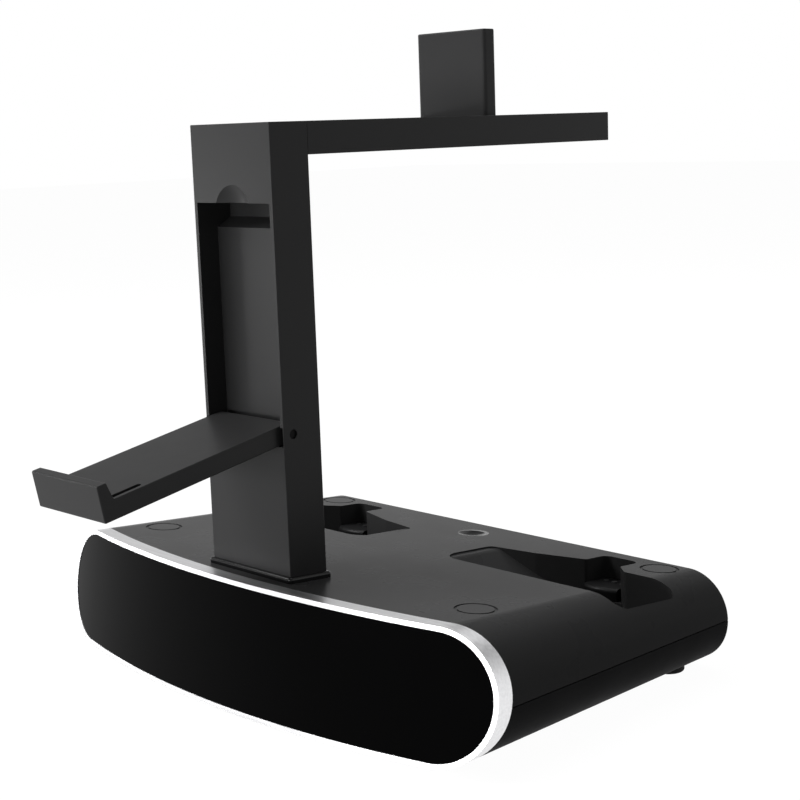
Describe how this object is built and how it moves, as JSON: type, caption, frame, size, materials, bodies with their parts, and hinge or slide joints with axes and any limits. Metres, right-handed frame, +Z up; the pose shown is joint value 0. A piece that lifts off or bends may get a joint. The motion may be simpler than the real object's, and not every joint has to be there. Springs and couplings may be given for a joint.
{
  "type": "controller charging dock",
  "caption": "Wedge-shaped charging base with cradles for ring-shaped game controllers, and a column with a level headset arm and a fold-out cradle arm",
  "frame": {"origin": "on the table, midway in width, halfway between the tip of the open cradle arm and the free end of the headset arm", "axes": "+X to the dock's right seen from the front, +Y from the dark front panel to the back, +Z up"},
  "size_m": [0.2443, 0.2632, 0.2469],
  "materials": {
    "shell_plastic": "fine satin black moulding",
    "collar_plastic": "smooth black",
    "trim_metal": "brushed along the band, bright polished rim",
    "panel_plastic": "mirror gloss, smoked black",
    "circuit_board": "green solder mask",
    "lamp_plastic": "white lamp bodies",
    "inlet_steel": "plain drawn shell",
    "switch_plastic": "plain",
    "button_plastic": "satin, dished top",
    "ballast_steel": "plain rolled plate",
    "foot_rubber": "plain",
    "screw_steel": "dark zinc",
    "pin_steel": "ground",
    "contact_plastic": "fine satin black",
    "contact_metal": "dark nickel plate"
  },
  "bodies": {
    "dock": {"base_upper_shell": "shell_plastic", "base_lower_shell": "shell_plastic", "column_shell": "shell_plastic", "column_rear_cover": "shell_plastic", "headset_arm": "shell_plastic", "arm_underside_cover": "shell_plastic", "headset_stop": "shell_plastic", "column_collar": "collar_plastic", "front_trim_ring": "trim_metal", "front_panel": "panel_plastic", "light_board": "circuit_board", "main_board": "circuit_board", "right_contact_board": "circuit_board", "left_contact_board": "circuit_board", "panel_lamps": "lamp_plastic", "power_inlet": "inlet_steel", "light_switch": "switch_plastic", "ballast_plate": "ballast_steel", "rubber_feet": "foot_rubber", "shell_screws": "screw_steel", "board_screws": "screw_steel", "column_bolts": "screw_steel", "column_cover_screws": "screw_steel", "arm_screws": "screw_steel", "arm_cover_screws": "screw_steel", "stop_screws": "screw_steel", "hinge_pin": "pin_steel", "right_contact_block": "contact_plastic", "left_contact_block": "contact_plastic", "right_contact_pins": "contact_metal", "left_contact_pins": "contact_metal"},
    "cradle_arm": {"fold_arm": "shell_plastic"},
    "button": {"light_button": "button_plastic", "switch_plunger": "switch_plastic"}
  },
  "joints": [
    {"name": "cradle_arm_fold", "type": "hinge", "parent": "dock", "child": "cradle_arm", "pos_m": [0, -0.0499, 0.1032], "axis": [-1, 0, 0], "range_deg": [0, 100.3]},
    {"name": "light_button_press", "type": "slide", "parent": "dock", "child": "button", "axis": [0, 0, -1], "range_m": [0, 0.0006], "stiffness_N_per_m": 800, "springref_m": -0.0006}
  ]
}
